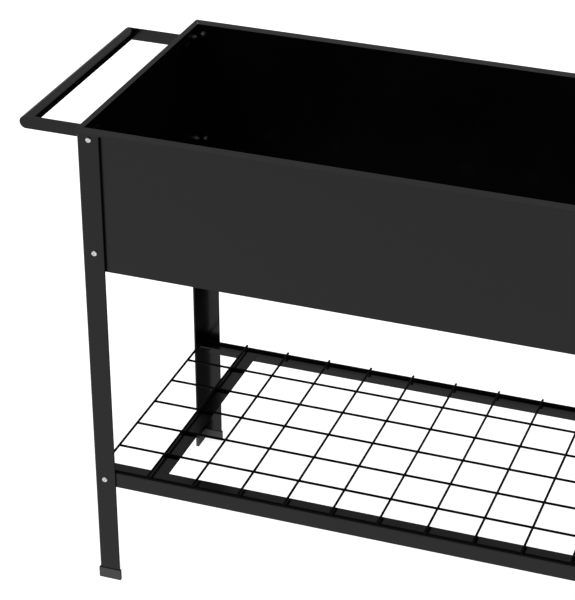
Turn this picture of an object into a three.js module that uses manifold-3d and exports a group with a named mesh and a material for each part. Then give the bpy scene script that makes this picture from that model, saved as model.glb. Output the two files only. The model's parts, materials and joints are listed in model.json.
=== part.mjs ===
// Raised planter on legs: a sheet-steel box on four angle legs, with a wire-mesh shelf below, a push
// handle at the left end and a pair of wheels on an axle at the right end.
// Millimetres, +Z up. X runs along the box, with the handle towards -X, and the long front faces -Y.
// The origin is on the ground, under the middle of the whole object.

import * as THREE from 'three';
import { mergeVertices } from 'three/addons/utils/BufferGeometryUtils.js';
import Module from 'manifold-3d';

// ---------- driving dimensions ----------

// Overall
const legSpanX = 1007.5;          // over the outer faces of the legs, along the box
const legSpanY = 443;             // over the outer faces of the legs, across the box
const rimTopZ = 794;
const boxBottomZ = 562.8;

// Sheet-steel box
const sheet = 1.2;
const rimLip = 3.2;               // height of the folded edge of the rim
const longRimOverhang = 10.8;     // how far the long rims stand out past the legs
const endRimOverhang = 0.3;       // the same for the end rims
const endRimInset = 9.3;          // inner edge of the end rims, from the legs' outer faces
const bottomFlange = 16;          // folded in under the floor
const returnFlange = 30;          // each end panel's flange behind the leg
const returnSheet = 2.4;          // that flange is hemmed, so it is double
const floorRise = 12;             // floor surface above the bottom flanges
const floorInset = 5;             // floor pan's edge, from the walls' inner faces
const floorBraceWidth = 44;
const floorBraceCount = 2;
const drainHole = 10;             // diameter
const drainPitchX = 118;
const drainPitchY = 96;
const drainEdge = 60;             // least distance from a drain hole to a wall or a brace

// Angle legs
const legFlange = 34;
const legSheet = 2.5;
const legBend = 3.2;              // outer bend radius
const footCapWall = 1;
const footCapBase = 3;
const footCapHeight = 18.5;

// Shelf
const shelfTopZ = 205.2;
const railFlange = 26.5;
const railSheet = 2;
const railBend = 2.4;
const crossbarWidth = 28.3;
const crossbarDepth = 22;
const crossbarInset = 84.2;        // outer edge of a crossbar, from the legs' outer faces
const wire = 4;                   // mesh wire diameter
const wireSink = 1;               // how deep crossing wires are welded into each other
const longWirePitch = 70.9;
const lastWireInset = 13.2;       // last long wire, from the back legs' outer faces
const crossWirePitch = 75.5;
const crossWireInset = 88.5;      // first regular cross wire, from the legs' outer faces
const endWireInset = 10;          // end cross wire, from the legs' outer faces
const wireTipY = 4.6;             // cross wires' free end past the outermost long wires
const wireTipX = 3;               // long wires' free end past the end cross wires

// Handle
const handleReach = 108;          // out to the handle's end, from the legs' outer faces
const handleArmHeight = 20;
const handleArmSheet = 3;
const handleTab = 26;             // arm's mounting tab, bent flat against the end panel
const handleDrop = 20.5;          // from the rim's top to the handle's middle
const handleBoltOuter = 7;        // outer bolt in a tab, from the arm's inner face
const handleBoltInner = 6;        // inner bolt in a tab, from the tab's end
const handleBarDiameter = 20;
const handleBarWall = 1.5;

// Wheels and axle
const wheelDiameter = 152;
const wheelWidth = 34;            // over the hub
const tyreWidth = 30;
const tyreDepth = 15;
const tyreShoulder = 7;           // radius of the tyre's rounded edges
const wheelRimWall = 4;
const wheelHubDiameter = 34;
const wheelWeb = 6;               // thickness of the web with the windows
const spokeCount = 5;
const spokeOuterWidth = 25.4;
const spokeInnerWidth = 15.8;
const windowToRim = 4;
const windowToHub = 5;
const axleDiameter = 12;
const axleInset = 17.25;          // axle's centre, from the right legs' outer faces
const legPastAxle = 20;           // right legs' length below the axle
const spacerLength = 6;
const spacerDiameter = 20;
const washerDiameter = 24;
const washerThickness = 1.5;
const axleCapDiameter = 22;
const axleCapLength = 8;
const axleCapCrown = 3;           // thickness of the cap over the axle's end
const axleCapFace = 12;           // diameter of its flat end

// Bolts
const boltDiameter = 5;
const boltHeadDiameter = 8.8;
const boltHeadHeight = 2.8;
const nutAcrossFlats = 8;
const nutHeight = 4;
const boltTip = 3;                // thread showing past the nut
const longBoltInset = 19;         // long sides' bolts, from a leg's corner
const endBoltInset = 17.5;        // ends' bolts, from a leg's corner
const railBoltInset = 16.6;       // shelf bolts' centre, from a leg's corner
const longBoltBelowRim = 15.2;    // upper bolts of the long sides, from the rim's top
const longBoltAboveBottom = 31.4; // lower ones, from the box's bottom edge
const endBoltBelowRim = 18.5;
const endBoltAboveBottom = 33.7;
const railBoltDrop = 13.8;        // shelf bolts, from the rails' top

// Clearances
const gap = 0.3;                  // between pieces that touch
const holeClearance = 0.3;        // around a bolt's shank, on the radius
const bearingClearance = 0.08;    // around the axle, on the radius
const fuse = 1;                   // how far solids reach into, or past, the ones they join or cut

// Facets of the round shapes
const holeSides = 12;
const wireSides = 8;
const rodSides = 24;
const wheelSides = 48;

// ---------- places that follow from them ----------

const endWallOut = legSheet + gap;                     // end panels lie against the legs
const endWallIn = endWallOut + sheet;
const longWallOut = endWallOut + returnSheet + gap;    // long panels lie against the return flanges
const longWallIn = longWallOut + sheet;
const rimUnderZ = rimTopZ - sheet;
const legTopZ = rimTopZ - rimLip - gap;
const floorSkirtZ = boxBottomZ + sheet + gap;
const floorTopZ = floorSkirtZ + floorRise;
const railOut = legSheet + gap;
const longBoltZs = [rimTopZ - longBoltBelowRim, boxBottomZ + longBoltAboveBottom];
const endBoltZs = [rimTopZ - endBoltBelowRim, boxBottomZ + endBoltAboveBottom];
const railBoltZ = shelfTopZ - railBoltDrop;
const longWireZ = shelfTopZ + gap + wire / 2;
const crossWireZ = longWireZ + wire - wireSink;
const axleX = legSpanX - axleInset;
const axleZ = wheelDiameter / 2;
const wheelHubIn = gap + spacerLength + gap;           // distances outwards from a leg's outer face
const wheelHubOut = wheelHubIn + wheelWidth;
const washerIn = wheelHubOut + gap;
const axleCapIn = washerIn + washerThickness + gap;
const axleEnd = axleCapIn + axleCapLength - axleCapCrown - gap;
const axleBoreRadius = axleDiameter / 2 + bearingClearance;
const handleArmInset = legFlange + gap;                // outer face of an arm, from the legs' outer faces
const handleMiddleZ = rimTopZ - handleDrop;
const objectMinX = -handleReach;
const objectMaxX = Math.max(legSpanX + endRimOverhang, axleX + wheelDiameter / 2);
const originX = (objectMinX + objectMaxX) / 2;
const originY = legSpanY / 2;

// ---------- materials ----------

const finish = (color, roughness, metalness) =>
  new THREE.MeshStandardMaterial({ color, roughness, metalness });
const blackPaint = finish(0x1b1b1c, 0.5, 0.2);
const blackWire = finish(0x151516, 0.45, 0.2);
const greyPlastic = finish(0x3c3c3e, 0.6, 0);
const wheelPlastic = finish(0x202022, 0.55, 0);
const tyreRubber = finish(0x161616, 0.85, 0);
const zincSteel = finish(0xc9cbcc, 0.3, 0.9);

// ---------- solids ----------

const wasm = await Module();
wasm.setup();

function toManifold(geometry) {
  const bare = geometry.index ? geometry.toNonIndexed() : geometry.clone();
  bare.deleteAttribute('normal');
  bare.deleteAttribute('uv');
  const merged = mergeVertices(bare, 1e-4);
  return new wasm.Manifold(new wasm.Mesh({
    numProp: 3,
    vertProperties: new Float32Array(merged.attributes.position.array),
    triVerts: new Uint32Array(merged.index.array),
  }));
}

function toGeometry(manifold) {
  const mesh = manifold.getMesh();
  const geometry = new THREE.BufferGeometry();
  geometry.setAttribute('position', new THREE.BufferAttribute(new Float32Array(mesh.vertProperties), 3));
  geometry.setIndex(new THREE.BufferAttribute(new Uint32Array(mesh.triVerts), 1));
  geometry.computeVertexNormals();
  return geometry;
}

const join = (...pieces) => toGeometry(pieces.map(toManifold).reduce((whole, piece) => whole.add(piece)));
const cut = (body, ...tools) =>
  toGeometry(tools.map(toManifold).reduce((whole, tool) => whole.subtract(tool), toManifold(body)));

// A vertical prism over an outline of [x, y] points.
function prism(outline, lowZ, highZ) {
  const shape = new THREE.Shape(outline.map(([x, y]) => new THREE.Vector2(x, y)));
  const geometry = new THREE.ExtrudeGeometry(shape, { depth: highZ - lowZ, bevelEnabled: false });
  return geometry.translate(0, 0, lowZ);
}

const box = (lowX, highX, lowY, highY, lowZ, highZ) =>
  prism([[lowX, lowY], [highX, lowY], [highX, highY], [lowX, highY]], lowZ, highZ);

// A solid turned about the Y axis from [radius, distance along +Y] points.
function turned(profile, segments) {
  return new THREE.LatheGeometry(profile.map(([r, y]) => new THREE.Vector2(r, y)), segments);
}

// A cylinder along Y or X between two planes, centred on the other two coordinates.
function rodY(radius, lowY, highY, x, z, segments) {
  return new THREE.CylinderGeometry(radius, radius, highY - lowY, segments)
    .translate(x, (lowY + highY) / 2, z);
}
function rodX(radius, lowX, highX, y, z, segments) {
  return new THREE.CylinderGeometry(radius, radius, highX - lowX, segments)
    .rotateZ(Math.PI / 2)
    .translate((lowX + highX) / 2, y, z);
}

// The outline of an L section with its outer corner at the origin, flanges along +X and +Y, and a
// rounded outer bend.
function angleOutline(flangeX, flangeY, thickness, bend) {
  const steps = 4;
  const outline = [
    [flangeX, 0],
    [flangeX, thickness],
    [thickness, thickness],
    [thickness, flangeY],
    [0, flangeY],
  ];
  for (let step = 0; step <= steps; step += 1) {
    const turn = Math.PI + (step / steps) * (Math.PI / 2);
    outline.push([bend + bend * Math.cos(turn), bend + bend * Math.sin(turn)]);
  }
  return outline;
}

// The four corners of the leg rectangle. at() takes distances inwards from the corner along X and Y.
function corner(endName, sideName) {
  const atRight = endName === 'right';
  const atBack = sideName === 'back';
  return {
    name: `${sideName}_${endName}`,
    atRight,
    atBack,
    at: (inX, inY) => [atRight ? legSpanX - inX : inX, atBack ? legSpanY - inY : inY],
  };
}
const corners = ['left', 'right'].flatMap((end) => ['front', 'back'].map((side) => corner(end, side)));

const planter = new THREE.Group();
planter.position.set(-originX, -originY, 0);

function add(name, geometry, material) {
  const mesh = new THREE.Mesh(geometry, material);
  mesh.name = name;
  planter.add(mesh);
}

// ---------- box ----------

// One side of the box. Places are given as [along the side, inwards from the legs' outer faces], and
// place() turns them into [x, y]. The rim is mitred against the neighbouring sides.
function panel(side, neighbour) {
  const mitre = (inwards) => {
    const share = (inwards - side.rimOut) / (side.rimIn - side.rimOut);
    return neighbour.rimOut + share * (neighbour.rimIn - neighbour.rimOut) + gap;
  };
  const mitredStrip = (from, to, lowZ, highZ) => prism([
    side.place(mitre(from), from),
    side.place(side.length - mitre(from), from),
    side.place(side.length - mitre(to), to),
    side.place(mitre(to), to),
  ], lowZ, highZ);
  const plate = (start, end, from, to, lowZ, highZ) => prism([
    side.place(start, from),
    side.place(end, from),
    side.place(end, to),
    side.place(start, to),
  ], lowZ, highZ);

  const wallStart = side.wallStart;
  const wallEnd = side.length - wallStart;
  const flangeStart = neighbour.wallIn + gap;
  const pieces = [
    plate(wallStart, wallEnd, side.wallOut, side.wallIn, boxBottomZ, rimUnderZ - gap),
    plate(side.rimRoot, side.length - side.rimRoot, side.wallOut, side.wallIn,
      rimUnderZ - gap - fuse, rimTopZ),
    mitredStrip(side.rimOut, side.rimIn, rimUnderZ, rimTopZ),
    mitredStrip(side.rimOut, side.rimOut + sheet, rimTopZ - rimLip, rimTopZ),
    prism([
      side.place(flangeStart, side.wallIn - sheet / 2),
      side.place(side.length - flangeStart, side.wallIn - sheet / 2),
      side.place(side.length - flangeStart - bottomFlange, side.wallIn + bottomFlange),
      side.place(flangeStart + bottomFlange, side.wallIn + bottomFlange),
    ], boxBottomZ, boxBottomZ + sheet),
  ];
  if (side.rimIn > side.wallIn) {
    const lipStart = neighbour.rimIn + gap;
    pieces.push(plate(
      lipStart, side.length - lipStart, side.rimIn - sheet, side.rimIn, rimTopZ - rimLip, rimTopZ));
  }
  if (side.returns) {
    for (const start of [wallStart, wallEnd - returnSheet]) {
      pieces.push(plate(start, start + returnSheet, side.wallOut, side.wallOut + returnFlange,
        boxBottomZ, rimUnderZ - gap));
    }
  }
  return join(...pieces);
}

const longSide = {
  length: legSpanX,
  wallOut: longWallOut,
  wallIn: longWallIn,
  wallStart: endWallIn + gap,
  rimRoot: endRimInset + gap,
  rimOut: -longRimOverhang,
  rimIn: longWallIn,
  returns: false,
};
const endSide = {
  length: legSpanY,
  wallOut: endWallOut,
  wallIn: endWallIn,
  wallStart: endWallOut,
  rimRoot: longWallIn + gap,
  rimOut: -endRimOverhang,
  rimIn: endRimInset,
  returns: true,
};

// Bolt holes through a leg and everything that lies against it. Directions: 'long' bolts run along Y
// through the long sides, 'end' bolts run along X through the ends.
const holeRadius = boltDiameter / 2 + holeClearance;
const holeReach = 2 * longWallIn;                      // past every layer at a leg, both ways
function longHole(at, inset, z) {
  const [x, y] = at(inset, 0);
  return rodY(holeRadius, y - holeReach, y + holeReach, x, z, holeSides);
}
function endHole(at, inset, z) {
  const [x, y] = at(0, inset);
  return rodX(holeRadius, x - holeReach, x + holeReach, y, z, holeSides);
}
const longHoles = (place) => longBoltZs.map((z) => longHole(place.at, longBoltInset, z));
const endHoles = (place) => endBoltZs.map((z) => endHole(place.at, endBoltInset, z));

const handleBoltsY = [
  handleArmInset + handleArmSheet + handleBoltOuter,
  handleArmInset + handleTab - handleBoltInner,
];
const handleHole = (y) => rodX(holeRadius, -holeReach, holeReach, y, handleMiddleZ, holeSides);
const handleHoles = handleBoltsY.flatMap((y) => [handleHole(y), handleHole(legSpanY - y)]);

for (const sideName of ['front', 'back']) {
  const place = (along, inwards) => [along, sideName === 'back' ? legSpanY - inwards : inwards];
  const holes = corners.filter(({ name }) => name.startsWith(sideName)).flatMap(longHoles);
  add(`${sideName}_panel`, cut(panel({ ...longSide, place }, endSide), ...holes), blackPaint);
}
for (const endName of ['left', 'right']) {
  const place = (along, inwards) => [endName === 'right' ? legSpanX - inwards : inwards, along];
  const ownCorners = corners.filter(({ name }) => name.endsWith(endName));
  const holes = ownCorners.flatMap((own) => [...longHoles(own), ...endHoles(own)]);
  if (endName === 'left') {
    holes.push(...handleHoles);
  }
  add(`${endName}_end_panel`, cut(panel({ ...endSide, place }, longSide), ...holes), blackPaint);
}

// Floor pan: a plate with its edges turned down onto the panels' bottom flanges, and drain holes in the
// bays that the braces under it leave open.
const floorLowX = endWallIn + floorInset;
const floorLowY = longWallIn + floorInset;
const floorHighX = legSpanX - floorLowX;
const floorHighY = legSpanY - floorLowY;
const braceMiddles = Array.from({ length: floorBraceCount },
  (_, index) => (legSpanX * (index + 1)) / (floorBraceCount + 1));
const bayLows = [floorLowX, ...braceMiddles.map((middle) => middle + floorBraceWidth / 2)];
const bayHighs = [...braceMiddles.map((middle) => middle - floorBraceWidth / 2), floorHighX];
function drainPlaces(low, high, pitch) {
  const count = Math.max(1, Math.floor((high - low - 2 * drainEdge) / pitch) + 1);
  return Array.from({ length: count }, (_, index) => (low + high) / 2 + (index - (count - 1) / 2) * pitch);
}
const drainXs = bayLows.flatMap((low, index) => drainPlaces(low, bayHighs[index], drainPitchX));
const drains = drainXs.flatMap((x) => drainPlaces(floorLowY, floorHighY, drainPitchY).map((y) =>
  new THREE.CylinderGeometry(drainHole / 2, drainHole / 2, 3 * sheet, holeSides)
    .rotateX(Math.PI / 2)
    .translate(x, y, floorTopZ - sheet / 2)));
add('floor_pan', cut(
  box(floorLowX, floorHighX, floorLowY, floorHighY, floorSkirtZ, floorTopZ),
  box(floorLowX + sheet, floorHighX - sheet, floorLowY + sheet, floorHighY - sheet,
    floorSkirtZ - fuse, floorTopZ - sheet),
  ...drains,
), blackPaint);

// Floor braces: upside-down channels across the box, between the bottom flanges and the floor.
braceMiddles.forEach((middle, index) => {
  const lowX = middle - floorBraceWidth / 2;
  const highX = middle + floorBraceWidth / 2;
  const lowY = floorLowY + sheet + gap;
  const highY = floorHighY - sheet - gap;
  const topZ = floorTopZ - sheet - gap;
  add(`floor_brace_${index + 1}`, cut(
    box(lowX, highX, lowY, highY, floorSkirtZ, topZ),
    box(lowX + sheet, highX - sheet, lowY - fuse, highY + fuse, floorSkirtZ - fuse, topZ - sheet),
  ), blackPaint);
});

// ---------- legs ----------

for (const place of corners) {
  const bottomZ = place.atRight ? axleZ - legPastAxle : footCapBase + gap;
  const outline = angleOutline(legFlange, legFlange, legSheet, legBend).map(([x, y]) => place.at(x, y));
  const holes = [...longHoles(place), ...endHoles(place), longHole(place.at, railBoltInset, railBoltZ)];
  if (place.atRight) {
    const [, y] = place.at(0, 0);
    holes.push(rodY(axleBoreRadius, y - holeReach, y + holeReach, axleX, axleZ, rodSides));
  }
  add(`leg_${place.name}`, cut(prism(outline, bottomZ, legTopZ), ...holes), blackPaint);
}

// Foot caps: L-shaped plastic shoes over the ends of the handle-end legs.
function grown(margin) {
  const low = -margin;
  const high = legFlange + margin;
  const inner = legSheet + margin;
  return [[low, low], [high, low], [high, inner], [inner, inner], [inner, high], [low, high]];
}
for (const place of corners.filter(({ atRight }) => !atRight)) {
  const outside = grown(gap + footCapWall).map(([x, y]) => place.at(x, y));
  const inside = grown(gap).map(([x, y]) => place.at(x, y));
  add(`foot_cap_${place.name}`, cut(
    prism(outside, 0, footCapHeight),
    prism(inside, footCapBase, footCapHeight + fuse),
  ), greyPlastic);
}

// ---------- shelf ----------

// An angle rail along X inside the legs, with its top flange turned in under the mesh.
for (const sideName of ['front', 'back']) {
  const atBack = sideName === 'back';
  const railLength = legSpanX - 2 * railOut;
  const outline = angleOutline(railFlange, railFlange, railSheet, railBend);
  const shape = new THREE.Shape(outline.map(([across, down]) => new THREE.Vector2(across, down)));
  const rail = new THREE.ExtrudeGeometry(shape, { depth: railLength, bevelEnabled: false });
  // The section's first axis becomes the inward direction, its second axis points down.
  const inward = new THREE.Vector3(0, atBack ? -1 : 1, 0);
  const down = new THREE.Vector3(0, 0, -1);
  const along = new THREE.Vector3().crossVectors(inward, down);
  rail.applyMatrix4(new THREE.Matrix4().makeBasis(inward, down, along));
  rail.translate(
    along.x > 0 ? railOut : legSpanX - railOut,
    atBack ? legSpanY - railOut : railOut,
    shelfTopZ,
  );
  const holes = corners
    .filter((place) => place.atBack === atBack)
    .map((place) => longHole(place.at, railBoltInset, railBoltZ));
  add(`shelf_rail_${sideName}`, cut(rail, ...holes), blackPaint);
}

// Crossbars: angles between the rails' top flanges and level with them, their upright flange on the
// outer side.
for (const endName of ['left', 'right']) {
  const atX = (inset) => (endName === 'right' ? legSpanX - inset : inset);
  const lowY = railOut + railFlange + gap;
  const highY = legSpanY - lowY;
  const outline = angleOutline(crossbarWidth, crossbarDepth, railSheet, railBend);
  const shape = new THREE.Shape(outline.map(([inwards, down]) =>
    new THREE.Vector2(atX(crossbarInset + inwards), shelfTopZ - down)));
  const bar = new THREE.ExtrudeGeometry(shape, { depth: highY - lowY, bevelEnabled: false });
  add(`shelf_crossbar_${endName}`, bar.rotateX(Math.PI / 2).translate(0, highY, 0), blackPaint);
}

// Welded mesh: long wires on the rails, cross wires welded on top of them.
const regularSpan = legSpanX - 2 * crossWireInset;
const regularPitches = Math.round(regularSpan / crossWirePitch);
const crossWireXs = [endWireInset, legSpanX - endWireInset];
for (let index = 0; index <= regularPitches; index += 1) {
  crossWireXs.push(crossWireInset + (regularSpan * index) / regularPitches);
}
const firstWireY = legSheet + gap + wire / 2;
const lastWireY = legSpanY - lastWireInset;
const longWirePitches = Math.round((lastWireY - firstWireY) / longWirePitch);
const longWireYs = Array.from({ length: longWirePitches + 1 },
  (_, index) => firstWireY + ((lastWireY - firstWireY) * index) / longWirePitches);
const wireSolids = [
  ...longWireYs.map((y) =>
    rodX(wire / 2, endWireInset - wireTipX, legSpanX - endWireInset + wireTipX, y, longWireZ, wireSides)),
  ...crossWireXs.map((x) =>
    rodY(wire / 2, longWireYs[0] - wire / 2, longWireYs.at(-1) + wireTipY, x, crossWireZ, wireSides)),
];
add('shelf_mesh', join(...wireSolids), blackWire);

// ---------- handle ----------

// Two flat arms with round ends, each with a tab bent flat against the left end panel.
const armRadius = handleArmHeight / 2;
const barX = -handleReach + armRadius;
const tabIn = endWallOut - gap - handleArmSheet;
for (const sideName of ['front', 'back']) {
  const shape = new THREE.Shape();
  shape.moveTo(tabIn + handleArmSheet, -armRadius);
  shape.lineTo(tabIn + handleArmSheet, armRadius);
  shape.lineTo(barX, armRadius);
  shape.absarc(barX, 0, armRadius, Math.PI / 2, (3 * Math.PI) / 2, false);
  const settings = { depth: handleArmSheet, bevelEnabled: false, curveSegments: 12 };
  const arm = new THREE.ExtrudeGeometry(shape, settings);
  arm.rotateX(Math.PI / 2).translate(0, handleArmInset + handleArmSheet, handleMiddleZ);
  const tab = box(tabIn, tabIn + handleArmSheet, handleArmInset, handleArmInset + handleTab,
    handleMiddleZ - armRadius, handleMiddleZ + armRadius);
  const holes = handleBoltsY.map((y) => handleHole(y));
  const geometry = cut(join(arm, tab), ...holes);
  if (sideName === 'back') {
    geometry.scale(1, -1, 1).translate(0, legSpanY, 0);
    geometry.setIndex(Array.from(geometry.index.array).reverse());
  }
  add(`handle_arm_${sideName}`, geometry, blackPaint);
}
const barLowY = handleArmInset + handleArmSheet + gap;
const barBore = handleBarDiameter / 2 - handleBarWall;
add('handle_bar', cut(
  rodY(handleBarDiameter / 2, barLowY, legSpanY - barLowY, barX, handleMiddleZ, rodSides),
  rodY(barBore, barLowY - fuse, legSpanY - barLowY + fuse, barX, handleMiddleZ, rodSides),
), blackPaint);

// ---------- axle and wheels ----------

add('axle', rodY(axleDiameter / 2, -axleEnd, legSpanY + axleEnd, axleX, axleZ, rodSides), zincSteel);

// Pieces on the axle are turned about Y, their profile running outwards from a leg's outer face.
function onAxle(geometry, sideName) {
  if (sideName === 'front') {
    return geometry.rotateX(Math.PI).translate(axleX, 0, axleZ);
  }
  return geometry.translate(axleX, legSpanY, axleZ);
}
const ring = (innerRadius, outerRadius, from, to) => turned([
  [innerRadius, from], [outerRadius, from], [outerRadius, to], [innerRadius, to], [innerRadius, from],
], rodSides);

const wheelRadius = wheelDiameter / 2;
const rimRadius = wheelRadius - tyreDepth;
const rimInnerRadius = rimRadius - wheelRimWall;
const hubRadius = wheelHubDiameter / 2;
const webHalf = wheelWeb / 2;
const tyreHalf = tyreWidth / 2;
const wheelMiddle = (wheelHubIn + wheelHubOut) / 2;

function wheelBody() {
  const profile = [
    [axleBoreRadius, wheelHubIn],
    [hubRadius, wheelHubIn],
    [hubRadius, wheelMiddle - webHalf],
    [rimInnerRadius, wheelMiddle - webHalf],
    [rimInnerRadius, wheelMiddle - tyreHalf],
    [rimRadius, wheelMiddle - tyreHalf],
    [rimRadius, wheelMiddle + tyreHalf],
    [rimInnerRadius, wheelMiddle + tyreHalf],
    [rimInnerRadius, wheelMiddle + webHalf],
    [hubRadius, wheelMiddle + webHalf],
    [hubRadius, wheelHubOut],
    [axleBoreRadius, wheelHubOut],
    [axleBoreRadius, wheelHubIn],
  ];
  const windowOuter = rimInnerRadius - windowToRim;
  const windowInner = hubRadius + windowToHub;
  const outerHalfTurn = Math.PI / spokeCount - spokeOuterWidth / 2 / windowOuter;
  const innerHalfTurn = Math.PI / spokeCount - spokeInnerWidth / 2 / windowInner;
  const windows = Array.from({ length: spokeCount }, (_, index) => {
    const middle = ((index + 0.5) / spokeCount) * 2 * Math.PI;
    const shape = new THREE.Shape();
    shape.absarc(0, 0, windowOuter, middle - outerHalfTurn, middle + outerHalfTurn, false);
    shape.absarc(0, 0, windowInner, middle + innerHalfTurn, middle - innerHalfTurn, true);
    const depth = wheelWeb + 2 * fuse;
    const tool = new THREE.ExtrudeGeometry(shape, { depth, bevelEnabled: false, curveSegments: 8 });
    return tool.rotateX(-Math.PI / 2).translate(0, wheelMiddle - depth / 2, 0);
  });
  return cut(turned(profile, wheelSides), ...windows);
}

function tyreBody() {
  const seat = rimRadius + gap;
  const profile = [[seat, wheelMiddle - tyreHalf]];
  for (const end of [-1, 1]) {
    for (let step = 0; step <= 3; step += 1) {
      const share = end < 0 ? step / 3 : 1 - step / 3;
      const turn = share * (Math.PI / 2);
      profile.push([
        wheelRadius - tyreShoulder + tyreShoulder * Math.sin(turn),
        wheelMiddle + end * (tyreHalf - tyreShoulder + tyreShoulder * Math.cos(turn)),
      ]);
    }
  }
  profile.push([seat, wheelMiddle + tyreHalf], [seat, wheelMiddle - tyreHalf]);
  return turned(profile, wheelSides);
}

for (const sideName of ['front', 'back']) {
  const spacer = ring(axleBoreRadius, spacerDiameter / 2, gap, gap + spacerLength);
  const washer = ring(axleBoreRadius, washerDiameter / 2, washerIn, washerIn + washerThickness);
  add(`wheel_spacer_${sideName}`, onAxle(spacer, sideName), zincSteel);
  add(`wheel_${sideName}`, onAxle(wheelBody(), sideName), wheelPlastic);
  add(`tyre_${sideName}`, onAxle(tyreBody(), sideName), tyreRubber);
  add(`wheel_washer_${sideName}`, onAxle(washer, sideName), zincSteel);
  const capTop = axleCapIn + axleCapLength;
  const capRadius = axleCapDiameter / 2;
  const capRise = (capRadius - axleCapFace / 2) / 2;
  add(`axle_cap_${sideName}`, onAxle(turned([
    [axleBoreRadius, axleCapIn],
    [capRadius, axleCapIn],
    [capRadius, capTop - capRise],
    [axleCapFace / 2, capTop],
    [0, capTop],
    [0, axleEnd + gap],
    [axleBoreRadius, axleEnd + gap],
    [axleBoreRadius, axleCapIn],
  ], rodSides), sideName), zincSteel);
}

// ---------- bolts ----------

// A domed bolt with its nut, along +Y: the head's seat is at 0 and the nut starts at nutSeat.
function boltWithNut(nutSeat) {
  const shank = boltDiameter / 2;
  const head = boltHeadDiameter / 2;
  const tip = nutSeat + nutHeight + boltTip;
  const domeSteps = 3;
  const profile = [];
  for (let step = 0; step <= domeSteps; step += 1) {
    const turn = (step / domeSteps) * (Math.PI / 2);
    profile.push([head * Math.sin(turn), -boltHeadHeight * Math.cos(turn)]);
  }
  profile.push([shank, 0], [shank, tip], [0, tip]);
  const nutRadius = nutAcrossFlats / Math.sqrt(3);
  const nut = new THREE.CylinderGeometry(nutRadius, nutRadius, nutHeight, 6)
    .translate(0, nutSeat + nutHeight / 2, 0);
  return join(turned(profile, holeSides), nut);
}

// Bolts enter through a leg from outside. Seats are distances inwards from the legs' outer faces.
function longBolt(name, place, inset, z, innerFace) {
  const geometry = boltWithNut(innerFace + 2 * gap).translate(0, -gap, 0);
  const [x, y] = place.at(inset, 0);
  if (place.atBack) {
    geometry.rotateZ(Math.PI);
  }
  add(name, geometry.translate(x, y, z), zincSteel);
}
function endBolt(name, place, y, z, headSeat, innerFace) {
  const geometry = boltWithNut(innerFace - headSeat + 2 * gap).translate(0, headSeat - gap, 0);
  geometry.rotateZ(place.atRight ? Math.PI / 2 : -Math.PI / 2);
  add(name, geometry.translate(place.atRight ? legSpanX : 0, y, z), zincSteel);
}

for (const place of corners) {
  const [, endY] = place.at(0, endBoltInset);
  const base = `bolt_${place.name}`;
  ['upper', 'lower'].forEach((height, index) => {
    longBolt(`${base}_long_${height}`, place, longBoltInset, longBoltZs[index], longWallIn);
    endBolt(`${base}_end_${height}`, place, endY, endBoltZs[index], 0, endWallIn);
  });
  longBolt(`${base}_shelf`, place, railBoltInset, railBoltZ, railOut + railSheet);
}
for (const place of corners.filter(({ atRight }) => !atRight)) {
  handleBoltsY.forEach((inset, index) => {
    const y = place.atBack ? legSpanY - inset : inset;
    const name = `bolt_handle_${place.atBack ? 'back' : 'front'}_${index + 1}`;
    endBolt(name, place, y, handleMiddleZ, tabIn, endWallIn);
  });
}

export default planter;
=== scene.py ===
"""Looks of the raised planter: paint, plastic, rubber and zinc, weld beads, tyre tread, and the studio.

Metres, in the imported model's frame: X along the box with the handle towards -X, the front faces -Y.
"""

import math

import bmesh
import bpy
from mathutils import Matrix, Vector
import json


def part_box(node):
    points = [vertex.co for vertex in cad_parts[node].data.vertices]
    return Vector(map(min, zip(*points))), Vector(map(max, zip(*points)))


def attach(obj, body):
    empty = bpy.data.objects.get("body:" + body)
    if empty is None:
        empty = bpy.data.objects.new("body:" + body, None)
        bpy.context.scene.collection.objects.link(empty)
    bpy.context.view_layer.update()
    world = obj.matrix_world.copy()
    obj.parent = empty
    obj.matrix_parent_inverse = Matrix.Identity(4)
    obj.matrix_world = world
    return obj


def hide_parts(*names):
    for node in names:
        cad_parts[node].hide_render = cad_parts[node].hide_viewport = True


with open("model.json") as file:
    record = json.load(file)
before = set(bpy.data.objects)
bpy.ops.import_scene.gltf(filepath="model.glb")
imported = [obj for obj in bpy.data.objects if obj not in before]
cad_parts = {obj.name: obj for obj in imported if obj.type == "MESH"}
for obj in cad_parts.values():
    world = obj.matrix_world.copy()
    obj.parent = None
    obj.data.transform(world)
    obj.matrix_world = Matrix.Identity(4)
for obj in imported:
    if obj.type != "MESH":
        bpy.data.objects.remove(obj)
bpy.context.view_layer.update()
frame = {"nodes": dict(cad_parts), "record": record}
nodes = frame["nodes"]

MM = 0.001
GAP = 0.3 * MM                  # between CAD pieces that touch
CORNERS = ("front_left", "back_left", "front_right", "back_right")
SIDES = ("front", "back")


# ---------- camera ----------

# The camera stands in front of the box, right of its left end, and looks down along it.
camera_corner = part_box("leg_front_left")[0]
CAMERA_FROM_CORNER = Vector((1.2454, -2.4959, 2.0515))  # from that leg's outer corner on the ground
CAMERA_YAW = math.radians(16.863)
CAMERA_PITCH = math.radians(29.038)
CAMERA_ROLL = math.radians(1.519)
CAMERA_LENS = 125.8
CAMERA_SHIFT_X = -0.1821
CAMERA_SHIFT_Y = 0.0006


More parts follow.
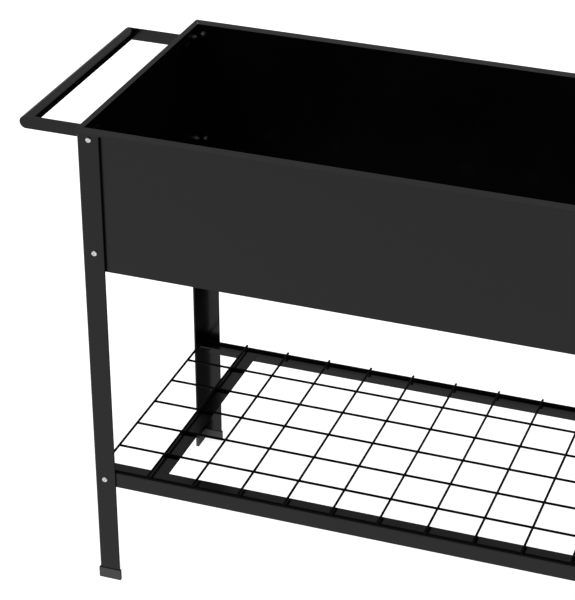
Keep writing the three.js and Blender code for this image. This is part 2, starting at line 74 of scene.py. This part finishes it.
def make_camera():
    data = bpy.data.cameras.new("camera")
    data.sensor_width = 36.0
    data.lens = CAMERA_LENS
    data.shift_x = CAMERA_SHIFT_X
    data.shift_y = CAMERA_SHIFT_Y
    data.clip_start = 0.1
    data.clip_end = 60.0
    camera = bpy.data.objects.new("camera", data)
    bpy.context.collection.objects.link(camera)
    forward = Vector((
        -math.sin(CAMERA_YAW) * math.cos(CAMERA_PITCH),
        math.cos(CAMERA_YAW) * math.cos(CAMERA_PITCH),
        -math.sin(CAMERA_PITCH),
    ))
    level = Vector((math.cos(CAMERA_YAW), math.sin(CAMERA_YAW), 0.0))
    upright = level.cross(forward)
    right = level * math.cos(CAMERA_ROLL) + upright * math.sin(CAMERA_ROLL)
    up = upright * math.cos(CAMERA_ROLL) - level * math.sin(CAMERA_ROLL)
    turn = Matrix((right, up, -forward)).transposed().to_4x4()
    ground_corner = Vector((camera_corner.x, camera_corner.y, 0.0))
    camera.matrix_world = Matrix.Translation(ground_corner + CAMERA_FROM_CORNER) @ turn
    bpy.context.scene.camera = camera


make_camera()


# ---------- materials ----------

class Nodes:
    """A small helper that adds shader nodes and links them from their arguments."""

    def __init__(self, name):
        self.material = bpy.data.materials.new(name)
        self.material.use_nodes = True
        self.tree = self.material.node_tree
        self.shader = self.tree.nodes["Principled BSDF"]
        self.place = self.add("ShaderNodeTexCoord").outputs["Object"]

    def add(self, kind, inputs=None, **settings):
        node = self.tree.nodes.new(kind)
        for key, value in settings.items():
            setattr(node, key, value)
        for key, value in (inputs or {}).items():
            self.put(node.inputs[key], value)
        return node

    def put(self, socket, value):
        if isinstance(value, bpy.types.NodeSocket):
            self.tree.links.new(value, socket)
        else:
            socket.default_value = value

    def noise(self, scale, detail=3.0, roughness=0.5, place=None):
        node = self.add("ShaderNodeTexNoise", {
            "Vector": place or self.place,
            "Scale": scale,
            "Detail": detail,
            "Roughness": roughness,
        })
        return node.outputs["Fac"]

    def ramp(self, value, low, high, to_low=0.0, to_high=1.0):
        node = self.add("ShaderNodeMapRange", {
            "Value": value,
            "From Min": low,
            "From Max": high,
            "To Min": to_low,
            "To Max": to_high,
        })
        return node.outputs["Result"]

    def math(self, operation, first, second=0.0):
        node = self.add("ShaderNodeMath", {0: first, 1: second}, operation=operation)
        return node.outputs["Value"]

    def mix(self, share, first, second):
        node = self.add("ShaderNodeMix", data_type="RGBA")
        self.put(node.inputs[0], share)
        self.put(node.inputs[6], first)
        self.put(node.inputs[7], second)
        return node.outputs[2]

    def bump(self, height, strength, distance, onto=None):
        inputs = {"Height": height, "Strength": strength, "Distance": distance}
        if onto is not None:
            inputs["Normal"] = onto
        return self.add("ShaderNodeBump", inputs).outputs["Normal"]

    def set(self, **values):
        for key, value in values.items():
            self.put(self.shader.inputs[key.replace("_", " ")], value)


def grey(level, warmth=0.0):
    return (level * (1.0 + warmth), level, level * (1.0 - warmth), 1.0)


def powder_coat(name, level, roughness, specular):
    """Black powder coat: a fine orange-peel skin, slightly uneven gloss, and a trace of dust."""
    n = Nodes(name)
    peel = n.noise(420.0, 2.0, 0.45)
    grain = n.noise(2600.0, 2.0, 0.6)
    cloud = n.noise(5.5, 4.0, 0.55)
    specks = n.ramp(n.noise(900.0, 1.0, 0.3), 0.70, 0.78)
    tone = n.mix(n.ramp(cloud, 0.35, 0.7), grey(level), grey(level * 1.35, -0.02))
    n.set(
        Base_Color=n.mix(n.math("MULTIPLY", specks, 0.35), tone, grey(level * 2.5)),
        Roughness=n.math(
            "ADD",
            n.ramp(cloud, 0.3, 0.75, roughness - 0.05, roughness + 0.05),
            n.ramp(grain, 0.3, 0.7, -0.03, 0.03),
        ),
        Metallic=0.0,
        IOR=1.5,
        Specular_IOR_Level=specular,
    )
    n.set(Normal=n.bump(grain, 0.05, 0.00006, n.bump(peel, 0.16, 0.0002)))
    return n.material


def moulded_plastic(name, level, roughness, specular):
    """Moulded plastic: a fine spark-eroded grain and slight flow marks."""
    n = Nodes(name)
    grain = n.noise(1800.0, 3.0, 0.65)
    flow = n.noise(14.0, 3.0, 0.5)
    scuffs = n.ramp(n.noise(120.0, 5.0, 0.7), 0.62, 0.8)
    tone = n.mix(n.ramp(flow, 0.35, 0.7), grey(level * 0.92), grey(level * 1.1, 0.01))
    n.set(
        Base_Color=n.mix(n.math("MULTIPLY", scuffs, 0.3), tone, grey(level * 1.5)),
        Roughness=n.math(
            "ADD",
            n.ramp(grain, 0.3, 0.7, roughness - 0.05, roughness + 0.05),
            n.math("MULTIPLY", scuffs, 0.12),
        ),
        Specular_IOR_Level=specular,
    )
    n.set(Normal=n.bump(grain, 0.28, 0.00012))
    return n.material


def tyre_rubber(name):
    """Dull black rubber with a little ground-in dust in random patches."""
    n = Nodes(name)
    grain = n.noise(1300.0, 4.0, 0.7)
    dust = n.ramp(n.noise(60.0, 4.0, 0.6), 0.45, 0.75)
    n.set(
        Base_Color=n.mix(n.math("MULTIPLY", dust, 0.45), grey(0.011), grey(0.026, 0.03)),
        Roughness=n.ramp(grain, 0.3, 0.7, 0.72, 0.88),
        Specular_IOR_Level=0.3,
    )
    n.set(Normal=n.bump(grain, 0.35, 0.00015))
    return n.material


def zinc(name, level, roughness):
    """Bright zinc plating: blotched passivation and fine drawing marks."""
    n = Nodes(name)
    blotch = n.noise(260.0, 4.0, 0.6)
    marks = n.noise(1500.0, 2.0, 0.5)
    n.set(
        Base_Color=n.mix(n.ramp(blotch, 0.35, 0.7), grey(level, 0.01), grey(level * 0.82, -0.015)),
        Roughness=n.ramp(blotch, 0.3, 0.7, roughness - 0.06, roughness + 0.08),
        Metallic=0.85,
    )
    n.set(Normal=n.bump(marks, 0.12, 0.00008))
    return n.material


paint = powder_coat("black_powder_coat", 0.0012, 0.21, 0.31)
panel_paint = powder_coat("black_panel_coat", 0.0012, 0.3, 0.325)
bar_paint = powder_coat("black_bar_coat", 0.0012, 0.16, 0.315)
mesh_paint = powder_coat("black_mesh_coat", 0.001, 0.45, 0.04)
weld_paint = powder_coat("black_weld_coat", 0.002, 0.4, 0.3)
cap_plastic = moulded_plastic("grey_cap_plastic", 0.043, 0.55, 0.4)
wheel_plastic = moulded_plastic("black_wheel_plastic", 0.012, 0.48, 0.45)
rubber = tyre_rubber("tyre_rubber")
bright_zinc = zinc("bright_zinc", 0.86, 0.26)
black_steel = zinc("black_steel", 0.045, 0.38)
nut_steel = zinc("nut_steel", 0.16, 0.34)
painted_steel = powder_coat("painted_steel", 0.0012, 0.5, 0.08)

SLOT_LOOKS = {
    "frame_paint": paint,
    "mesh_paint": mesh_paint,
    "foot_plastic": cap_plastic,
    "wheel_plastic": wheel_plastic,
    "tyre_rubber": rubber,
    "zinc": bright_zinc,
}


PANELS = ("front_panel", "back_panel", "left_end_panel", "right_end_panel")


def dress_nodes():
    """Every CAD node takes its slot's material. The handle bar is glossier and the box a little duller."""
    for part in frame["record"]["subparts"]:
        mesh = nodes[part["node"]].data
        mesh.materials.clear()
        mesh.materials.append(SLOT_LOOKS[part["material_slot"]])
    nodes["handle_bar"].data.materials[0] = bar_paint
    for name in PANELS + ("floor_pan",):
        nodes[name].data.materials[0] = panel_paint


dress_nodes()


# ---------- modelling helpers ----------

def add_piece(name, mesh, material, body):
    """Links a mesh as a named piece with one material, riding on a body."""
    mesh.materials.append(material)
    piece = bpy.data.objects.new(name, mesh)
    bpy.context.collection.objects.link(piece)
    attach(piece, body)
    return piece


def smooth_by_angle(mesh, degrees=35.0):
    """Smooth shading, kept crisp where two faces meet at more than the given angle."""
    for polygon in mesh.polygons:
        polygon.use_smooth = True
    mesh.set_sharp_from_angle(angle=math.radians(degrees))


def skin_rings(bm, rings, close_around=True, close_along=False):
    """Faces between neighbouring rings of vertices that all have the same count."""
    pairs = list(zip(rings, rings[1:] + rings[:1])) if close_along else list(zip(rings, rings[1:]))
    count = len(rings[0])
    last = count if close_around else count - 1
    for first, second in pairs:
        for index in range(last):
            after = (index + 1) % count
            bm.faces.new((first[index], first[after], second[after], second[index]))


def mesh_from(bm, name, degrees=35.0):
    bmesh.ops.recalc_face_normals(bm, faces=bm.faces)
    mesh = bpy.data.meshes.new(name)
    bm.to_mesh(mesh)
    bm.free()
    smooth_by_angle(mesh, degrees)
    return mesh


def turn_to(axis):
    """The rotation that takes +Z to the given axis."""
    return Vector((0.0, 0.0, 1.0)).rotation_difference(Vector(axis)).to_matrix().to_4x4()


def ring(bm, place, radius_at, height, count):
    """A ring of vertices round the local Z axis, its radius given by a function of the angle."""
    made = []
    for index in range(count):
        angle = 2.0 * math.pi * index / count
        radius = radius_at(angle)
        local = Vector((radius * math.cos(angle), radius * math.sin(angle), height))
        made.append(bm.verts.new(place @ local))
    return made


def hexagon(across_flats):
    """Radius of a hexagon at an angle."""
    def radius_at(angle):
        part = (angle + math.pi / 6.0) % (math.pi / 3.0) - math.pi / 6.0
        return across_flats / 2.0 / math.cos(part)
    return radius_at


def circle(radius):
    return lambda angle: radius


# ---------- bolts ----------

BOLT_RADIUS = 2.5 * MM
BOLT_TIP = 3.0 * MM             # thread past the nut, as in the CAD
NUT_HEIGHT = 4.0 * MM
NUT_FLATS = 8.0 * MM
HEAD_HEIGHT = 2.8 * MM
SOCKET_FLATS = 3.0 * MM
SOCKET_DEPTH = 1.7 * MM
HEAD_RIM = 0.35 * MM            # straight edge under a head's dome
NUT_CHAMFER = 0.6 * MM
THREAD_PITCH = 0.8 * MM
THREAD_DEPTH = 0.32 * MM
CIRCLE_STEPS = 36


def bolt_mesh(name, seat, axis, head_radius, length):
    """A domed socket screw. Its head sits on the seat and its shank runs along the axis."""
    bm = bmesh.new()
    place = Matrix.Translation(seat) @ turn_to(axis)
    rings = []
    socket_floor = -HEAD_HEIGHT + SOCKET_DEPTH
    socket_mouth = SOCKET_FLATS * 0.62

    def step_to(radius_at, height):
        rings.append(ring(bm, place, radius_at, height, CIRCLE_STEPS))

    step_to(hexagon(SOCKET_FLATS * 0.5), socket_floor + 0.25 * MM)
    step_to(hexagon(SOCKET_FLATS), socket_floor)
    step_to(hexagon(SOCKET_FLATS), -HEAD_HEIGHT + 0.15 * MM)
    step_to(circle(socket_mouth), -HEAD_HEIGHT)
    dome_steps = 6
    for step in range(1, dome_steps + 1):
        turn = step / dome_steps * math.pi / 2.0
        radius = socket_mouth + (head_radius - socket_mouth) * math.sin(turn)
        step_to(circle(radius), -HEAD_RIM - (HEAD_HEIGHT - HEAD_RIM) * math.cos(turn))
    step_to(circle(head_radius - 0.25 * MM), 0.0)
    step_to(circle(BOLT_RADIUS), 0.0)
    thread_start = length - BOLT_TIP - NUT_HEIGHT - THREAD_PITCH
    turns = int((length - thread_start - 0.5 * MM) / THREAD_PITCH)
    for turn in range(turns):
        low = thread_start + turn * THREAD_PITCH
        step_to(circle(BOLT_RADIUS), low)
        step_to(circle(BOLT_RADIUS - THREAD_DEPTH), low + THREAD_PITCH / 2)
    step_to(circle(BOLT_RADIUS), length - 0.6 * MM)
    step_to(circle(BOLT_RADIUS - 0.5 * MM), length)
    skin_rings(bm, rings)
    bm.faces.new(rings[0])
    bm.faces.new(rings[-1])
    return mesh_from(bm, name)


def nut_mesh(name, seat, axis):
    """A hexagon nut with chamfered corners on both faces."""
    bm = bmesh.new()
    place = Matrix.Translation(seat) @ turn_to(axis)
    corner = NUT_FLATS / 2.0 / math.cos(math.pi / 6.0)
    outline = hexagon(NUT_FLATS)
    bore = BOLT_RADIUS + 0.02 * MM

    def chamfered(limit):
        return lambda angle: min(outline(angle), limit)

    # Half of the section, from the bore out to the flats; the other half mirrors it.
    section = [
        (circle(bore), 0.3 * MM),
        (circle(bore + 0.35 * MM), 0.0),
        (circle(NUT_FLATS / 2.0 * 0.95), 0.0),
        (chamfered(corner * 0.94), 0.25 * MM),
        (chamfered(corner), NUT_CHAMFER),
    ]
    section += [(radius_at, NUT_HEIGHT - height) for radius_at, height in reversed(section)]
    rings = [ring(bm, place, radius_at, height, CIRCLE_STEPS) for radius_at, height in section]
    skin_rings(bm, rings, close_along=True)
    return mesh_from(bm, name, 25.0)


def make_bolt(node, head_material, nut_material):
    """Stands in for a CAD bolt: its head is on the side away from the middle of the box."""
    low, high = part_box(node)
    middle = (low + high) / 2.0
    along = 1 if "long" in node or "shelf" in node else 0
    box_low, box_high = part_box("floor_pan")
    inwards = 1.0 if middle[along] < (box_low + box_high)[along] / 2.0 else -1.0
    axis = Vector((0.0, 0.0, 0.0))
    axis[along] = inwards
    head_end = middle.copy()
    head_end[along] = low[along] if inwards > 0 else high[along]
    length = high[along] - low[along] - HEAD_HEIGHT
    across = 1 - along
    head_radius = (high[across] - low[across]) / 2.0
    seat = head_end + axis * HEAD_HEIGHT
    mesh = bolt_mesh(node, seat, axis, head_radius, length)
    bolt = add_piece(node + "_screw", mesh, head_material, "planter")
    if head_material is not nut_material:
        mesh.materials.append(nut_material)
        for polygon in mesh.polygons:
            if (polygon.center - seat).dot(axis) > 0.1 * MM:
                polygon.material_index = 1
    nut_seat = seat + axis * (length - BOLT_TIP - NUT_HEIGHT)
    add_piece(node + "_nut", nut_mesh(node + "_nut", nut_seat, axis), nut_material, "planter")
    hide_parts(node)


for node in nodes:
    if node.startswith("bolt_handle"):
        make_bolt(node, black_steel, painted_steel)
    elif node.startswith("bolt_"):
        dark_end = "front_left" in node or "shelf" in node
        make_bolt(node, bright_zinc, painted_steel if dark_end else nut_steel)


# ---------- rounded sheet edges ----------

def soften(node, width, segments=2, degrees=40.0):
    """A small rounded edge wherever two faces of a CAD node meet at an angle."""
    piece = nodes[node]
    bevel = piece.modifiers.new("rounded_edges", "BEVEL")
    bevel.width = width
    bevel.segments = segments
    bevel.limit_method = "ANGLE"
    bevel.angle_limit = math.radians(degrees)
    bevel.use_clamp_overlap = True
    bevel.harden_normals = True
    smooth_by_angle(piece.data, degrees)


for name in PANELS:
    soften(name, 0.3 * MM)
for name in CORNERS:
    soften("leg_" + name, 0.35 * MM)
for name in ("front_left", "back_left"):
    soften("foot_cap_" + name, 0.45 * MM, 3)
for name in ("shelf_rail_front", "shelf_rail_back", "shelf_crossbar_left", "shelf_crossbar_right"):
    soften(name, 0.35 * MM)
for side in SIDES:
    soften("handle_arm_" + side, 0.4 * MM, 3)
    soften("wheel_" + side, 0.5 * MM)
    soften("axle_cap_" + side, 0.3 * MM)
soften("axle", 0.5 * MM)


# ---------- tyres ----------

TREAD_DEPTH = 1.6 * MM
TREAD_BLOCKS = 40
STEPS_PER_BLOCK = 6
TYRE_STEPS = TREAD_BLOCKS * STEPS_PER_BLOCK
TYRE_SHOULDER = 7.0 * MM
GROOVE_HALF = 0.9 * MM


def make_tyre(side):
    """A rubber tyre with two grooves round it and a lug pattern on each shoulder."""
    low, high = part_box("tyre_" + side)
    centre = (low + high) / 2.0
    outer = (high.x - low.x) / 2.0
    half = (high.y - low.y) / 2.0
    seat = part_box("wheel_" + side)[1].x - centre.x + GAP
    profile = [(seat, -half, 0.0), (seat + 3.0 * MM, -half, 0.0), (seat + 3.6 * MM, -half + 0.5 * MM, 0.0),
               (seat + 4.2 * MM, -half, 0.0)]
    arc_steps = 5
    for step in range(arc_steps + 1):
        turn = step / arc_steps * math.pi / 2.0
        lug = 1.0 if 1 <= step <= 4 else 0.0
        profile.append((
            outer - TYRE_SHOULDER + TYRE_SHOULDER * math.sin(turn),
            -half + TYRE_SHOULDER - TYRE_SHOULDER * math.cos(turn),
            lug,
        ))
    groove = (half - TYRE_SHOULDER) * 0.45
    profile += [
        (outer, -groove - GROOVE_HALF, 0.0),
        (outer - TREAD_DEPTH, -groove - GROOVE_HALF * 0.6, 0.0),
        (outer - TREAD_DEPTH, -groove + GROOVE_HALF * 0.6, 0.0),
        (outer, -groove + GROOVE_HALF, 0.0),
    ]
    mirrored = [(radius, -across, lug) for radius, across, lug in reversed(profile)]
    bm = bmesh.new()
    rings = []
    for index in range(TYRE_STEPS):
        angle = 2.0 * math.pi * index / TYRE_STEPS
        row = []
        for place, (radius, across, lug) in enumerate(profile + mirrored):
            stagger = 0 if place < len(profile) else STEPS_PER_BLOCK // 2
            in_cut = (index + stagger) % STEPS_PER_BLOCK in (0, 1)
            depth = TREAD_DEPTH * 0.75 * lug if in_cut else 0.0
            reach = radius - depth
            row.append(bm.verts.new((
                centre.x + reach * math.cos(angle),
                centre.y + across,
                centre.z + reach * math.sin(angle),
            )))
        rings.append(row)
    skin_rings(bm, rings, close_around=True, close_along=True)
    tyre = add_piece("tyre_tread_" + side, mesh_from(bm, "tyre_tread", 32.0), rubber, side + "_wheel")
    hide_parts("tyre_" + side)


# ---------- wheel details ----------

SPOKES = 5
HUB_RADIUS = 17.0 * MM
WHEEL_RIM_WALL = 4.0 * MM
WEB_HALF = 3.0 * MM
RIB_FOOT = 2.2 * MM             # half a rib's width at the web and at its crest
RIB_TOP = 1.3 * MM


def make_wheel_ribs(side):
    """A moulded rib along each spoke, on both faces of the web, rising towards the rim."""
    low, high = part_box("wheel_" + side)
    centre = (low + high) / 2.0
    inner = HUB_RADIUS - 0.5 * MM
    outer = (high.x - low.x) / 2.0 - WHEEL_RIM_WALL + 0.4 * MM
    bm = bmesh.new()
    for face in (-1.0, 1.0):
        base = face * (WEB_HALF - 0.2 * MM)
        crest = face * (WEB_HALF + 4.0 * MM)
        end_crest = face * (WEB_HALF + 6.5 * MM)
        for spoke in range(SPOKES):
            angle = 2.0 * math.pi * spoke / SPOKES
            turn = Matrix.Translation(centre) @ Matrix.Rotation(-angle, 4, "Y")
            rows = []
            for reach, peak in ((inner, crest), (outer, end_crest)):
                rows.append([
                    bm.verts.new(turn @ Vector((reach, base, -RIB_FOOT))),
                    bm.verts.new(turn @ Vector((reach, peak, -RIB_TOP))),
                    bm.verts.new(turn @ Vector((reach, peak, RIB_TOP))),
                    bm.verts.new(turn @ Vector((reach, base, RIB_FOOT))),
                ])
            skin_rings(bm, rows)
            bm.faces.new(rows[0])
            bm.faces.new(rows[1])
    mesh = mesh_from(bm, "wheel_ribs", 30.0)
    ribs = add_piece("wheel_ribs_" + side, mesh, wheel_plastic, side + "_wheel")
    bevel = ribs.modifiers.new("rounded_edges", "BEVEL")
    bevel.width = 0.5 * MM
    bevel.segments = 2
    bevel.limit_method = "ANGLE"


for side in SIDES:
    make_tyre(side)
    make_wheel_ribs(side)


# ---------- weld beads ----------

BEAD_RADIUS = 0.8 * MM
BEAD_STEP = 1.1 * MM
SHELF_SHEET = 2.0 * MM
WIRE_DIAMETER = 4.0 * MM
WIRE_SINK = 1.0 * MM            # how deep crossing wires are welded into each other
MESH_LONG_PITCH = 70.9 * MM
MESH_LAST_INSET = 13.2 * MM     # last long wire, from the back legs' outer faces
MESH_CROSS_PITCH = 75.5 * MM
MESH_CROSS_INSET = 88.5 * MM
MESH_END_INSET = 10.0 * MM


def bead(bm, points, radius, closed=False):
    """A rippled bead of weld along a line of points, in metres."""
    ripple = 0.16
    steps = 8
    rings = []
    count = len(points)
    for index, point in enumerate(points):
        before = points[(index - 1) % count] if closed or index > 0 else point
        after = points[(index + 1) % count] if closed or index < count - 1 else point
        along = (after - before).normalized()
        side = along.orthogonal().normalized()
        across = along.cross(side)
        taper = 1.0 if closed or 0 < index < count - 1 else 0.35
        size = radius * taper * (1.0 + ripple * math.sin(index * 2.1))
        rings.append([
            bm.verts.new(point + (side * math.cos(a) + across * math.sin(a)) * size)
            for a in (2.0 * math.pi * step / steps for step in range(steps))
        ])
    skin_rings(bm, rings, close_along=closed)
    if not closed:
        bm.faces.new(rings[0])
        bm.faces.new(rings[-1])


def straight(start, end, step):
    count = max(3, int((end - start).length / step))
    return [start.lerp(end, index / count) for index in range(count + 1)]


def weld_handle():
    """A bead round each end of the handle bar, where it meets the arms."""
    low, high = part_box("handle_bar")
    centre = (low + high) / 2.0
    inside = (high.z - low.z) / 2.0 - 1.05 * MM
    bm = bmesh.new()
    for y in (low.y + 0.35 * MM, high.y - 0.35 * MM):
        steps = 60
        points = [
            Vector((centre.x + inside * math.cos(2 * math.pi * k / steps), y,
                    centre.z + inside * math.sin(2 * math.pi * k / steps)))
            for k in range(steps)
        ]
        bead(bm, points, 0.85 * MM, closed=True)
    add_piece("handle_weld_beads", mesh_from(bm, "handle_weld_beads", 60.0), weld_paint, "planter")


def weld_shelf():
    """Beads under the butt joints between the crossbars and the rails' top flanges."""
    bm = bmesh.new()
    front_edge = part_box("shelf_rail_front")[1].y
    back_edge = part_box("shelf_rail_back")[0].y
    for name in ("shelf_crossbar_left", "shelf_crossbar_right"):
        low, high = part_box(name)
        upright = low.x if name.endswith("left") else high.x
        inwards = 1.0 if name.endswith("left") else -1.0
        height = high.z - SHELF_SHEET - 0.3 * MM
        for y in (front_edge + 0.1 * MM, back_edge - 0.1 * MM):
            start = Vector((upright + inwards * (SHELF_SHEET + 1.5 * MM), y, height))
            end = Vector((upright + inwards * (high.x - low.x - 1.5 * MM), y, height))
            bead(bm, straight(start, end, BEAD_STEP), BEAD_RADIUS)
    add_piece("shelf_weld_beads", mesh_from(bm, "shelf_weld_beads", 60.0), weld_paint, "planter")


def weld_mesh():
    """A small flattened nugget at every crossing of the mesh wires."""
    low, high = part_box("shelf_mesh")
    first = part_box("leg_front_left")[0]
    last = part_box("leg_back_right")[1]
    first_y = low.y + WIRE_DIAMETER / 2.0
    last_y = last.y - MESH_LAST_INSET
    pitches = round((last_y - first_y) / MESH_LONG_PITCH)
    long_ys = [first_y + (last_y - first_y) * k / pitches for k in range(pitches + 1)]
    span = last.x - first.x - 2.0 * MESH_CROSS_INSET
    pitches = round(span / MESH_CROSS_PITCH)
    cross_xs = [first.x + MESH_END_INSET, last.x - MESH_END_INSET]
    cross_xs += [first.x + MESH_CROSS_INSET + span * k / pitches for k in range(pitches + 1)]
    height = low.z + WIRE_DIAMETER - WIRE_SINK / 2.0
    bm = bmesh.new()
    for x in cross_xs:
        for y in long_ys:
            matrix = Matrix.Translation((x, y, height)) @ Matrix.Diagonal((2.7 * MM, 2.7 * MM, 0.9 * MM, 1.0))
            bmesh.ops.create_icosphere(bm, subdivisions=1, radius=1.0, matrix=matrix)
    add_piece("mesh_weld_nuggets", mesh_from(bm, "mesh_weld_nuggets", 80.0), mesh_paint, "planter")


weld_handle()
weld_shelf()
weld_mesh()


# ---------- stage ----------

def make_floor():
    """A white floor, lit through like a light table, so that it stays plain under the object."""
    mesh = bpy.data.meshes.new("floor")
    reach = 40.0
    mesh.from_pydata([(-reach, -reach, 0), (reach, -reach, 0), (reach, reach, 0), (-reach, reach, 0)],
                     [], [(0, 1, 2, 3)])
    floor = bpy.data.objects.new("floor", mesh)
    bpy.context.collection.objects.link(floor)
    n = Nodes("pale_floor")
    n.set(
        Base_Color=(0.9, 0.9, 0.9, 1.0),
        Roughness=0.9,
        Specular_IOR_Level=0.1,
        Emission_Color=(1.0, 1.0, 1.0, 1.0),
        Emission_Strength=0.85,
    )
    mesh.materials.append(n.material)
    floor.visible_glossy = False  # the paint mirrors the studio's ground instead


# The studio that the paint mirrors: a white ground, a grey backdrop that fades upwards, and a black
# flag low down behind the object.
GROUND_LIGHT = 1.0
BACKDROP_LOW = 0.16
BACKDROP_HIGH = 0.36
CEILING = 0.16
SIDE_LIGHT = 1.75               # how much brighter the backdrop is on the wheels' side
FLAG_DIRECTION = Vector((0.18, 0.85, -0.50)).normalized()


def make_world():
    world = bpy.data.worlds.new("studio")
    bpy.context.scene.world = world
    world.use_nodes = True
    tree = world.node_tree

    def node(kind, **settings):
        made = tree.nodes.new(kind)
        for key, value in settings.items():
            setattr(made, key, value)
        return made

    direction = node("ShaderNodeTexCoord").outputs["Generated"]
    split = node("ShaderNodeSeparateXYZ")
    tree.links.new(direction, split.inputs[0])

    def span(value, low, high, to_low, to_high):
        made = node("ShaderNodeMapRange", interpolation_type="SMOOTHSTEP")
        tree.links.new(value, made.inputs["Value"])
        for key, number in (("From Min", low), ("From Max", high), ("To Min", to_low), ("To Max", to_high)):
            made.inputs[key].default_value = number
        return made.outputs["Result"]

    def combine(operation, first, second):
        made = node("ShaderNodeMath", operation=operation)
        for index, value in enumerate((first, second)):
            if isinstance(value, bpy.types.NodeSocket):
                tree.links.new(value, made.inputs[index])
            else:
                made.inputs[index].default_value = value
        return made.outputs[0]

    rise = split.outputs["Z"]
    backdrop = span(rise, 0.02, 0.42, BACKDROP_LOW, BACKDROP_HIGH)
    overhead = span(rise, 0.55, 0.9, 0.0, BACKDROP_HIGH - CEILING)
    side = span(split.outputs["X"], -0.25, 0.2, 1.0, SIDE_LIGHT)
    sky = combine("MULTIPLY", combine("SUBTRACT", backdrop, overhead), side)
    below = span(rise, -0.03, 0.0, 1.0, 0.0)
    ground = combine("MULTIPLY", below, GROUND_LIGHT)
    above = combine("MULTIPLY", combine("SUBTRACT", 1.0, below), sky)
    towards = node("ShaderNodeVectorMath", operation="DOT_PRODUCT")
    tree.links.new(direction, towards.inputs[0])
    towards.inputs[1].default_value = FLAG_DIRECTION
    flag = span(towards.outputs["Value"], 0.62, 0.82, 1.0, 0.0)
    shaded = combine("MULTIPLY", ground, flag)
    mirrored = combine("ADD", shaded, above)
    seen = node("ShaderNodeLightPath").outputs["Is Camera Ray"]
    total = combine("MAXIMUM", mirrored, seen)
    background = tree.nodes["Background"]
    background.inputs["Color"].default_value = (1.0, 1.0, 1.0, 1.0)
    tree.links.new(total, background.inputs["Strength"])


def sun(name, strength, angle, direction):
    data = bpy.data.lights.new(name, "SUN")
    data.energy = strength
    data.angle = math.radians(angle)
    light = bpy.data.objects.new(name, data)
    light.rotation_mode = "QUATERNION"
    light.rotation_quaternion = Vector(direction).to_track_quat("-Z", "Y")
    bpy.context.collection.objects.link(light)


bpy.context.scene.view_settings.view_transform = "Standard"
make_floor()
make_world()
sun("key", 0.7, 70.0, (0.45, 0.5, -1.0))
